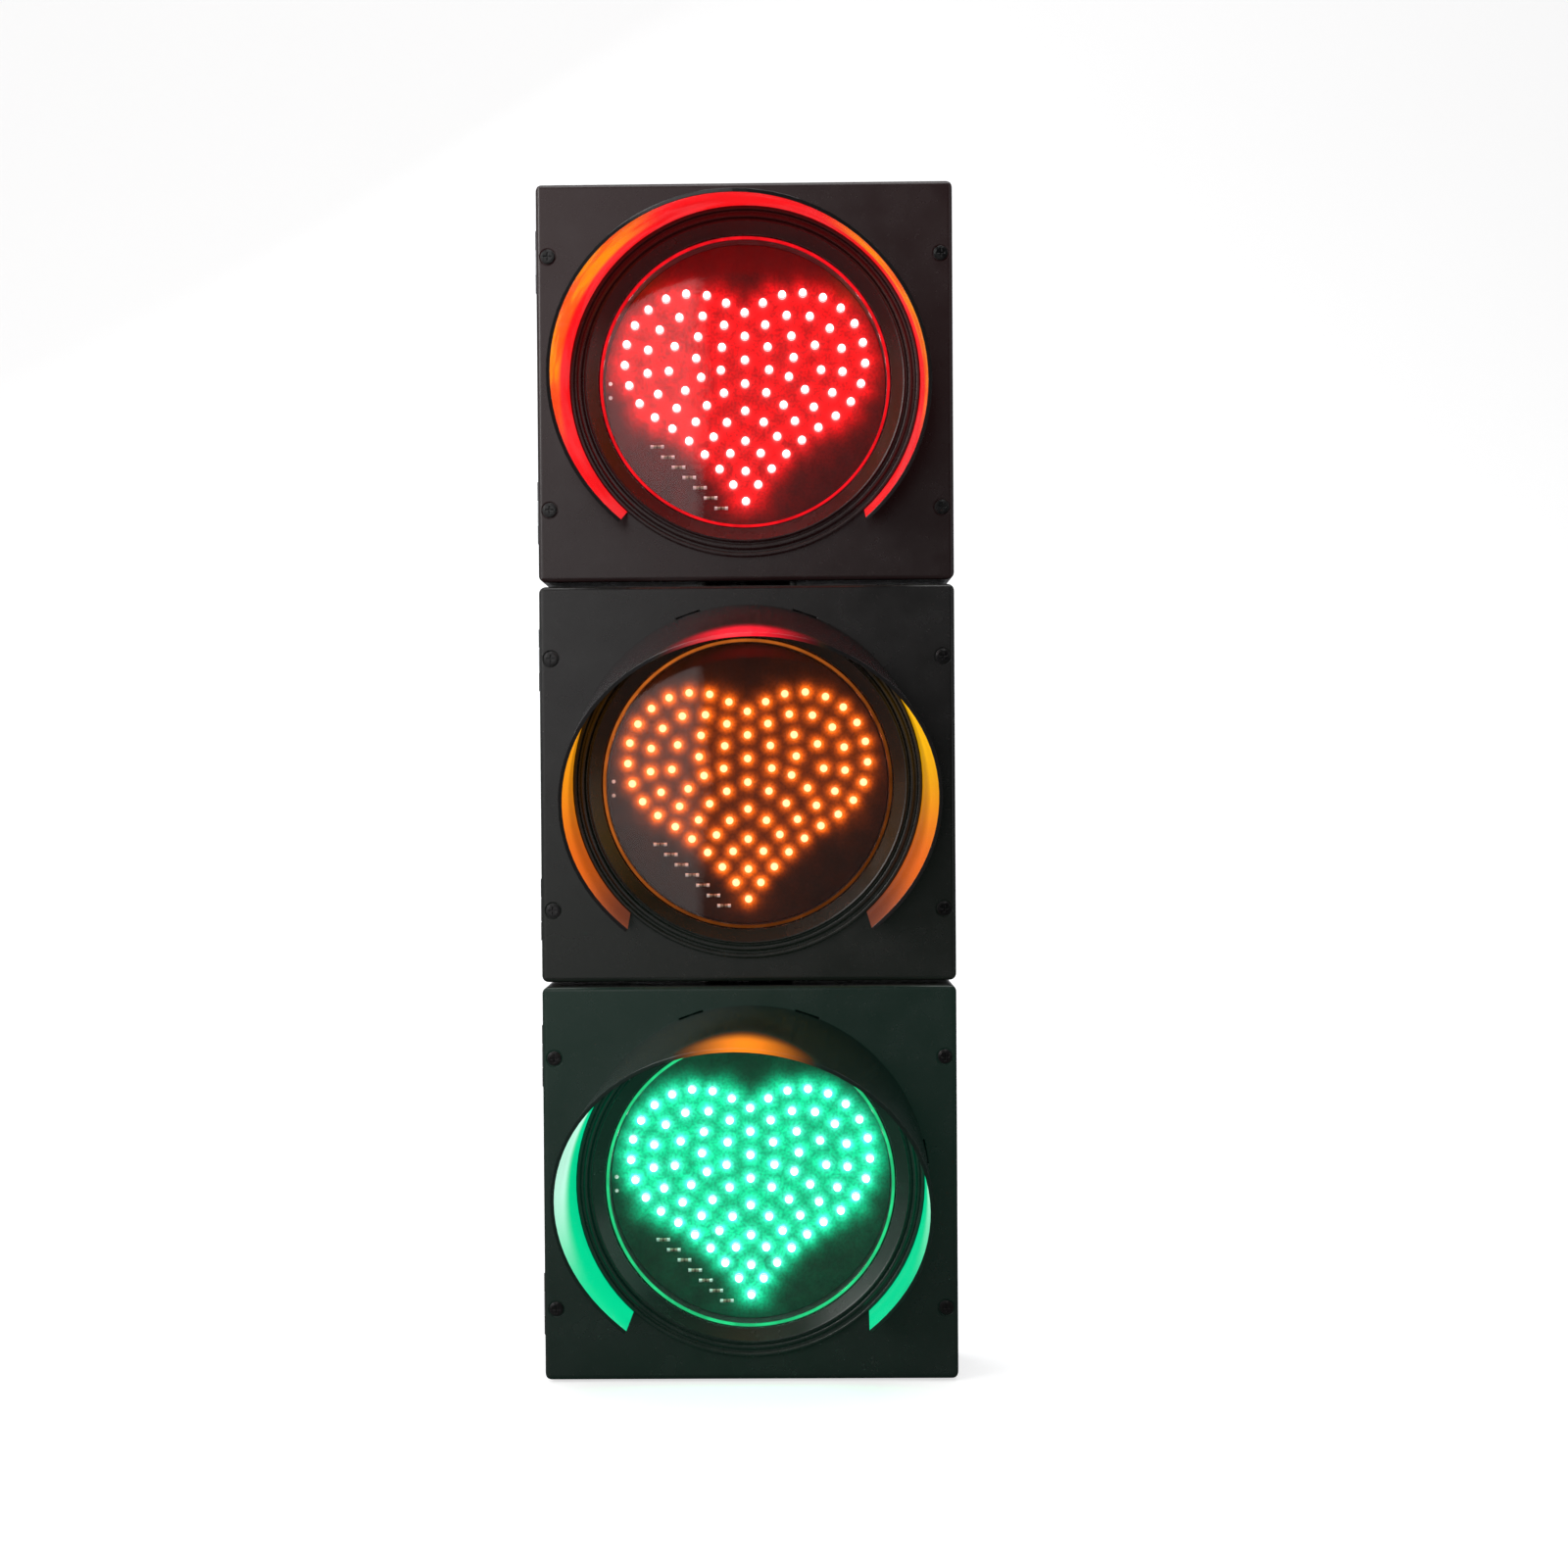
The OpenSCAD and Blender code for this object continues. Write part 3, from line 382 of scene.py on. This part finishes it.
def board_material(colour):
    """Black solder mask with fine tracks, with painted light round each diode and across the heart:
    emission from the halo stored on the mesh.
    """
    s = Shader(colour + "_board_look")
    halo = s.add("ShaderNodeAttribute", attribute_name="halo").outputs["Fac"]
    inside = s.add("ShaderNodeAttribute", attribute_name="inside").outputs["Fac"]
    near = s.add("ShaderNodeAttribute", attribute_name="near").outputs["Fac"]
    pads = s.ramp(near, *PAD_RADIUS, 1.0, 0.0)
    tracks = s.noise(150.0, 0.0, stretch=(1.0, 1.0, 1.0), kind="ShaderNodeTexVoronoi")
    lines = s.ramp(tracks, 0.05, 0.09, 1.0, 0.0)
    base = s.mix(s.math("MULTIPLY", lines, 0.4), (0.004, 0.005, 0.004), (0.022, 0.024, 0.020))
    base = s.mix(s.math("MULTIPLY", pads, 0.5), base, (0.12, 0.115, 0.105))
    mottle = s.math("MULTIPLY", s.ramp(s.noise(90.0, 4.0), 0.3, 0.75, 0.72, 1.2),
                    s.ramp(s.noise(520.0, 2.0), 0.32, 0.62, 0.72, 1.08))
    wide = s.add("ShaderNodeAttribute", attribute_name="wide").outputs["Fac"]
    power = HALO_POWER[colour]
    glow = s.math("ADD", s.math("MULTIPLY", halo, power[0]), s.math("MULTIPLY", inside, power[1]))
    glow = s.math("ADD", glow, s.math("MULTIPLY", wide, power[2]))
    r, x, y, dz = s.radius(CENTRE[colour])
    # Two studs near the board's left edge: light in colour, with a painted glint as emission.
    studs_and_glints = None
    for z in STUD_HEIGHTS:
        dx = s.math("ADD", x, -STUD_X)
        gap = s.math("SUBTRACT", dz, z)
        far = s.math("SQRT", s.math("ADD", s.math("MULTIPLY", dx, dx), s.math("MULTIPLY", gap, gap)))
        spot = s.ramp(far, *STUD_RADIUS, 1.0, 0.0)
        studs_and_glints = spot if studs_and_glints is None else s.math("ADD", studs_and_glints, spot)
    base = s.mix(studs_and_glints, base, (0.85, 0.84, 0.82))
    hue = s.mix(s.math("MULTIPLY", halo, halo), HALO_OUTER[colour], HALO_INNER[colour])
    painted_glow = s.mix(s.math("MULTIPLY", studs_and_glints, 0.8), hue, (0.9, 0.85, 0.85))
    glow = s.math("ADD", glow, s.math("MULTIPLY", studs_and_glints, 0.3))
    rough = s.ramp(s.noise(220.0, 2.0), 0.3, 0.8, 0.35, 0.55)
    return s.done(s.principled(Base_Color=base, Roughness=rough, Specular_IOR_Level=0.25,
                               Emission_Color=painted_glow, Emission_Strength=s.math("MULTIPLY", glow, mottle),
                               Normal=s.bump(s.math("ADD", lines, pads), 0.2, 0.0002)))


# ---- looks for every CAD node ----

WORN = (0.085, 0.085, 0.085)
# Shell colours tinted a little towards each module's colour: painted light of the module on its own door
# and housing.
SHELL = {"green": (0.0085, 0.0100, 0.0095), "amber": (0.0100, 0.0095, 0.0095),
         "red": (0.0115, 0.0092, 0.0094)}
shell = {c: moulded(c + "_shell_look", SHELL[c], WORN, 0.25, painted_glow=c) for c in SECTIONS}
# The green visor's colour is tinted green: painted light of the green module on its visor.
VISOR = {"green": (0.0080, 0.0220, 0.0170), "amber": (0.0120, 0.0115, 0.0118),
         "red": (0.0130, 0.0110, 0.0115)}
visor_look = {c: moulded(c + "_visor_look", VISOR[c], WORN, 0.17, grain=0.008, dust=0.010,
                         streaks=0.02, speckled=0.0, lit=c, uneven=0.04) for c in SECTIONS}
steel = metal("zinc_look", (0.62, 0.62, 0.60), 0.30)
black_steel = metal("black_screw_look", (0.0035, 0.0035, 0.0038), 0.13, 0.05, (0.008, 0.008, 0.008),
                    metallic=0.0, level=0.40)
brass = metal("brass_look", (0.72, 0.52, 0.22), 0.28, 0.10, (0.34, 0.24, 0.12))
gasket = rubber("gasket_look", (0.016, 0.016, 0.016))
jacket = rubber("jacket_look", (0.022, 0.022, 0.024), 0.5)
case_look = moulded("case_look", (0.030, 0.030, 0.031), (0.14, 0.14, 0.14), 0.45, dust=0.12)
block_look = moulded("block_look", (0.55, 0.52, 0.44), (0.72, 0.70, 0.62), 0.42, dust=0.10)
driver_look = moulded("driver_look", (0.02, 0.13, 0.06), (0.30, 0.42, 0.30), 0.32, dust=0.10)


ROW_TOP_Z = 0.041
ROW_STEP = (0.0072, 0.007)
ROW_LEFT = 0.060


def resistor_material(colour):
    """Lacquered body with a colour band and bright soldered ends, which carry a painted glint in their
    section's light, as emission.
    """
    s = Shader(colour + "_resistor_look")
    r, x, y, dz = s.radius(CENTRE[colour])
    row = s.math("ROUND", s.math("MULTIPLY", s.math("ADD", dz, ROW_TOP_Z), -1 / ROW_STEP[1]))
    middle = s.math("SUBTRACT", s.math("MULTIPLY", row, ROW_STEP[0]), ROW_LEFT)
    along = s.math("ABSOLUTE", s.math("SUBTRACT", x, middle))
    cap = s.ramp(along, 0.0024, 0.0027)
    band = s.math("MULTIPLY", s.ramp(along, 0.0006, 0.0008, 1.0, 0.0), 0.8)
    glint_unevenness = s.ramp(s.noise(400.0, 3.0), 0.3, 0.8, 0.7, 1.0)
    colour_mix = s.mix(band, (0.46, 0.38, 0.27), (0.12, 0.05, 0.03))
    colour_mix = s.mix(cap, colour_mix, (0.86, 0.85, 0.83))
    # Painted glint on the soldered ends, as emission in the section's colour, varied by noise.
    glint = s.math("MULTIPLY", s.math("MULTIPLY", cap, glint_unevenness), 0.24)
    painted_glow = {"red": (1.0, 0.52, 0.54), "amber": (1.0, 0.78, 0.70), "green": (0.50, 1.0, 0.80)}[colour]
    return s.done(s.principled(Base_Color=colour_mix, Roughness=s.ramp(cap, 0.0, 1.0, 0.35, 0.22),
                               Emission_Color=painted_glow, Emission_Strength=glint,
                               Normal=s.bump(s.noise(300.0, 3.0), 0.1, 0.0002)))


BY_PART = {
    "door_gasket": gasket, "lens_gasket": gasket,
    "module_case": case_look, "driver": driver_look, "module_clips": steel, "clip_screws": steel,
    "hinge_leaves": steel, "hinge_screws": black_steel, "lock_screw_upper": black_steel,
    "lock_screw_lower": black_steel, "led_board": case_look,
}
SHARED = {
    "hinge_pins": steel, "lock_inserts": brass, "coupling_rings": steel, "coupling_bolts": steel,
    "coupling_nuts": steel, "terminal_block": block_look, "green_lead": jacket, "amber_lead": jacket,
    "red_lead": jacket,
}
for c in SECTIONS:
    for part, look in BY_PART.items():
        SHARED[c + "_" + part] = look
    SHARED[c + "_housing"] = SHARED[c + "_door"] = shell[c]
    SHARED[c + "_visor"] = visor_look[c]
    SHARED[c + "_lens"] = lens_material(c)
    SHARED[c + "_leds"] = diode_material(c)
    SHARED[c + "_resistors"] = resistor_material(c)
for name, look in SHARED.items():
    nodes[name].data.materials.clear()
    nodes[name].data.materials.append(look)


# ---- diode boards with their halos ----

DIODE_GROUP = 0.0066
HALO_START = 0.0026
HALO_SPREAD = {"red": 0.0050, "amber": 0.0027, "green": 0.0046}
BOARD_RINGS = 66
BOARD_AROUND = 264
HEART_MIDDLE = -0.02


def diode_places(name):
    """Centre of each diode of a CAD node, from the clusters its vertices form."""
    co = np.array([v.co for v in nodes[name].data.vertices], float)[:, (0, 2)]
    places = []
    while len(co):
        near = np.hypot(*(co - co[0]).T) < DIODE_GROUP
        group = co[near]
        places.append((group.min(0) + group.max(0)) / 2)
        co = co[~near]
    return np.array(places)


def inside_outline(points, outline):
    """1 where a point is inside a closed outline, by counting crossings."""
    count = np.zeros(len(points), int)
    for a, b in zip(outline, np.roll(outline, -1, axis=0)):
        crosses = (a[1] > points[:, 1]) != (b[1] > points[:, 1])
        at = a[0] + (points[:, 1] - a[1]) / (b[1] - a[1] + 1e-12) * (b[0] - a[0])
        count += crosses & (points[:, 0] < at)
    return count % 2


def build_board(colour):
    lo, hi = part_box(colour + "_led_board")
    radius = (hi.x - lo.x) / 2
    zc = CENTRE[colour]
    places = diode_places(colour + "_leds") - np.array([0.0, zc])
    rings, around = BOARD_RINGS, BOARD_AROUND
    verts = [(0.0, lo.y, zc)]
    for i in range(1, rings + 1):
        for k in range(around):
            a = 2 * math.pi * k / around
            verts.append((radius * i / rings * math.sin(a), lo.y, zc + radius * i / rings * math.cos(a)))
    back = len(verts)
    for y, r in ((lo.y + 0.0002, radius), (hi.y, radius)):
        for k in range(around):
            a = 2 * math.pi * k / around
            verts.append((r * math.sin(a), y, zc + r * math.cos(a)))
    verts.append((0.0, hi.y, zc))
    faces = [(0, 1 + k, 1 + (k + 1) % around) for k in range(around)]
    for i in range(rings - 1):
        p, q = 1 + i * around, 1 + (i + 1) * around
        faces += [(p + k, q + k, q + (k + 1) % around, p + (k + 1) % around) for k in range(around)]
    last = 1 + (rings - 1) * around
    for p, q in ((last, back), (back, back + around)):
        faces += [(p + k, q + k, q + (k + 1) % around, p + (k + 1) % around) for k in range(around)]
    rim = back + around
    faces += [(rim + k, len(verts) - 1, rim + (k + 1) % around) for k in range(around)]
    mesh = bpy.data.meshes.new(colour + "_board")
    mesh.from_pydata(verts, [], faces)
    mesh.validate()
    flat = np.array(verts)[:, (0, 2)] - np.array([0.0, zc])
    gap = np.hypot(flat[:, None, 0] - places[None, :, 0], flat[:, None, 1] - places[None, :, 1])
    near = gap.min(1)
    halo = np.exp(-(np.maximum(near - HALO_START, 0) / HALO_SPREAD[colour]) ** 1.4)
    angle = np.arctan2(places[:, 0], places[:, 1] - HEART_MIDDLE)
    far = np.hypot(places[:, 0], places[:, 1] - HEART_MIDDLE)
    order = []
    for a in np.linspace(-math.pi, math.pi, 61)[:-1]:
        beam = np.abs((angle - a + math.pi) % (2 * math.pi) - math.pi) < 0.13
        if beam.any():
            order.append((a, far[beam].max()))
    outline = np.array([(r * math.sin(a), r * math.cos(a) + HEART_MIDDLE) for a, r in order])
    inner = inside_outline(flat, outline).astype(float)
    edge_gap = np.hypot(flat[:, None, 0] - outline[None, :, 0],
                        flat[:, None, 1] - outline[None, :, 1]).min(1)
    wide = 0.25 + 0.75 * np.exp(-edge_gap / 0.020)
    inner = np.where(inner > 0, 1.0, np.exp(-((edge_gap / 0.008) ** 2)) * 0.8)
    for key, values in (("halo", halo), ("inside", inner), ("near", near), ("wide", wide)):
        at = mesh.attributes.new(key, "FLOAT", "POINT")
        at.data.foreach_set("value", values.astype(np.float32))
    obj = bpy.data.objects.new(colour + "_diode_board", mesh)
    bpy.context.scene.collection.objects.link(obj)
    mesh.materials.append(board_material(colour))
    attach(obj, colour + "_door_body")
    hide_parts(colour + "_led_board")
    return obj


for c in SECTIONS:
    build_board(c)


# ---- smooth-shaded copies of the leads, in place of the CAD leads ----


def build_lead(colour):
    source = nodes[colour + "_lead"]
    mesh = source.data.copy()
    obj = bpy.data.objects.new(colour + "_flexible_lead", mesh)
    bpy.context.scene.collection.objects.link(obj)
    for p in mesh.polygons:
        p.use_smooth = True
    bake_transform(obj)
    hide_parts(colour + "_lead")
    return obj


for c in SECTIONS:
    build_lead(c)


# ---- light from the modules ----

def lamp(name, kind, place, power, colour, body=None, **values):
    data = bpy.data.lights.new(name, kind)
    data.energy = power
    data.color = colour
    for key, value in values.items():
        setattr(data, key, value)
    obj = bpy.data.objects.new(name, data)
    obj.location = place
    bpy.context.scene.collection.objects.link(obj)
    if body:
        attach(obj, body)
    return obj


POWER = {"red": 2.6, "amber": 0.9, "green": 0.40}
for c in SECTIONS:
    glow = lamp(c + "_glow", "AREA", (0.0, FACE_Y - 0.001, CENTRE[c]), POWER[c], LIGHT[c],
                shape="DISK", size=0.15)
    glow.rotation_euler = (math.radians(-90), 0.0, 0.0)
    glow.visible_camera = False
    glow.visible_glossy = False
    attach(glow, c + "_door_body")


# ---- studio ----

def sweep_material():
    s = Shader("sweep_look")
    path = s.add("ShaderNodeLightPath")
    cloud = s.ramp(s.noise(3.0, 4.0), 0.3, 0.7, 0.0, 0.3)
    base = s.principled(Base_Color=s.mix(cloud, (0.62, 0.62, 0.62), (0.60, 0.60, 0.60)), Roughness=0.8,
                        Emission_Color=(1.0, 1.0, 1.0), Emission_Strength=0.66)
    parts = s.add("ShaderNodeSeparateXYZ")
    s.put(parts.inputs[0], s.coord)
    wall = s.mix(s.ramp(parts.outputs[2], 0.2, 1.2), (0.12, 0.12, 0.12), (0.60, 0.60, 0.62))
    aside = s.ramp(s.math("ABSOLUTE", parts.outputs[0]), 0.25, 0.85, 0.0, 0.55)
    glow = s.math("MULTIPLY", aside, s.ramp(parts.outputs[2], 0.35, 0.9))
    dim = s.principled(Base_Color=wall, Roughness=0.9, Emission_Color=(0.90, 0.95, 1.0),
                       Emission_Strength=glow)
    pick = s.add("ShaderNodeMixShader")
    s.put(pick.inputs[0], path.outputs["Is Camera Ray"])
    s.tree.links.new(dim.outputs[0], pick.inputs[1])
    s.tree.links.new(base.outputs[0], pick.inputs[2])
    return s.done(pick)


def build_sweep():
    front, flat_end, bend, steps, height, half_width = -6.0, 1.0, 1.4, 24, 7.0, 7.0
    profile = [(front, 0.0), (flat_end, 0.0)]
    for k in range(1, steps + 1):
        a = math.pi / 2 * k / steps
        profile.append((flat_end + bend * math.sin(a), bend - bend * math.cos(a)))
    profile.append((flat_end + bend, height))
    verts = [(x, y, z - 0.0004) for x in (-half_width, half_width) for y, z in profile]
    n = len(profile)
    mesh = bpy.data.meshes.new("sweep")
    mesh.from_pydata(verts, [], [(k, k + 1, n + k + 1, n + k) for k in range(n - 1)])
    for p in mesh.polygons:
        p.use_smooth = True
    mesh.materials.append(sweep_material())
    obj = bpy.data.objects.new("sweep", mesh)
    bpy.context.scene.collection.objects.link(obj)


build_sweep()


def build_world():
    world = bpy.data.worlds.new("studio")
    world.use_nodes = True
    tree = world.node_tree
    tree.nodes.clear()
    coord = tree.nodes.new("ShaderNodeTexCoord")
    split = tree.nodes.new("ShaderNodeSeparateXYZ")
    tree.links.new(coord.outputs["Generated"], split.inputs[0])
    side = tree.nodes.new("ShaderNodeMapRange")
    side.interpolation_type = "SMOOTHSTEP"
    for s, v in zip(side.inputs[1:], (-0.85, 0.10, 0.80, 0.06)):
        s.default_value = v
    tree.links.new(split.outputs[0], side.inputs[0])
    back = tree.nodes.new("ShaderNodeBackground")
    tree.links.new(side.outputs[0], back.inputs["Strength"])
    seen = tree.nodes.new("ShaderNodeBackground")
    seen.inputs["Strength"].default_value = 1.0
    path = tree.nodes.new("ShaderNodeLightPath")
    pick = tree.nodes.new("ShaderNodeMixShader")
    tree.links.new(path.outputs["Is Camera Ray"], pick.inputs[0])
    tree.links.new(back.outputs[0], pick.inputs[1])
    tree.links.new(seen.outputs[0], pick.inputs[2])
    out = tree.nodes.new("ShaderNodeOutputWorld")
    tree.links.new(pick.outputs[0], out.inputs["Surface"])
    bpy.context.scene.world = world


build_world()


def aim(obj, target):
    obj.rotation_euler = (Vector(target) - obj.location).to_track_quat("-Z", "Y").to_euler()


key = lamp("key", "AREA", (-1.9, -2.2, 1.7), 42.0, (1.0, 0.98, 0.97),
           shape="RECTANGLE", size=1.1, size_y=1.8)
aim(key, (0.0, 0.0, HEAD_MIDDLE_Z))
top = lamp("top", "AREA", (0.2, -0.6, 2.6), 22.0, (1.0, 1.0, 1.0),
           shape="RECTANGLE", size=1.6, size_y=1.2)
aim(top, (0.0, 0.0, HEAD_MIDDLE_Z))
fill = lamp("fill", "AREA", (2.2, -1.6, 1.0), 5.0, (0.97, 0.98, 1.0),
            shape="RECTANGLE", size=1.0, size_y=1.6)
aim(fill, (0.0, 0.0, HEAD_MIDDLE_Z))
rim = lamp("rim", "AREA", (-0.9, 1.7, 1.9), 18.0, (0.94, 0.97, 1.0),
           shape="RECTANGLE", size=1.4, size_y=1.0)
aim(rim, (0.0, 0.0, 0.45))
for light in (key, top, fill, rim):
    light.visible_camera = False


CARD_Y = -4.3


def build_card():
    """Bright wall to the viewer's left, which the lenses and doors mirror."""
    mesh = bpy.data.meshes.new("card")
    y = CARD_Y
    corners = [(-2.6, y, -1.2), (-0.16, y, -1.2), (-0.13, y, 2.6), (-2.6, y, 2.6)]
    mesh.from_pydata(corners, [], [(0, 1, 2, 3)])
    s = Shader("card_look")
    e = s.add("ShaderNodeEmission")
    s.put(e.inputs["Color"], (1.0, 0.97, 0.97))
    parts = s.add("ShaderNodeSeparateXYZ")
    s.put(parts.inputs[0], s.coord)
    s.put(e.inputs["Strength"], s.ramp(parts.outputs[2], -0.7, 1.5, 0.75, 1.35))
    mesh.materials.append(s.done(e))
    obj = bpy.data.objects.new("card", mesh)
    bpy.context.scene.collection.objects.link(obj)
    obj.visible_camera = False


build_card()


# ---- camera ----

camera_data = bpy.data.cameras.new("view")
CAMERA_DISTANCE = 2.098
CAMERA_TILT = 1.31
CAMERA_ROLL = 0.41
CAMERA_TURN = 1.0
camera_data.lens = 71.41
camera_data.sensor_width = 36.0
camera_data.shift_x = 0.0341
camera_data.shift_y = 0.0477
camera = bpy.data.objects.new("view", camera_data)
camera.location = (0.0251, FACE_Y - CAMERA_DISTANCE, 0.4023)
camera.rotation_euler = Euler((math.radians(90 - CAMERA_TILT), math.radians(CAMERA_ROLL),
                               math.radians(CAMERA_TURN)))
bpy.context.scene.collection.objects.link(camera)
bpy.context.scene.camera = camera
bpy.context.scene.view_settings.view_transform = "Standard"
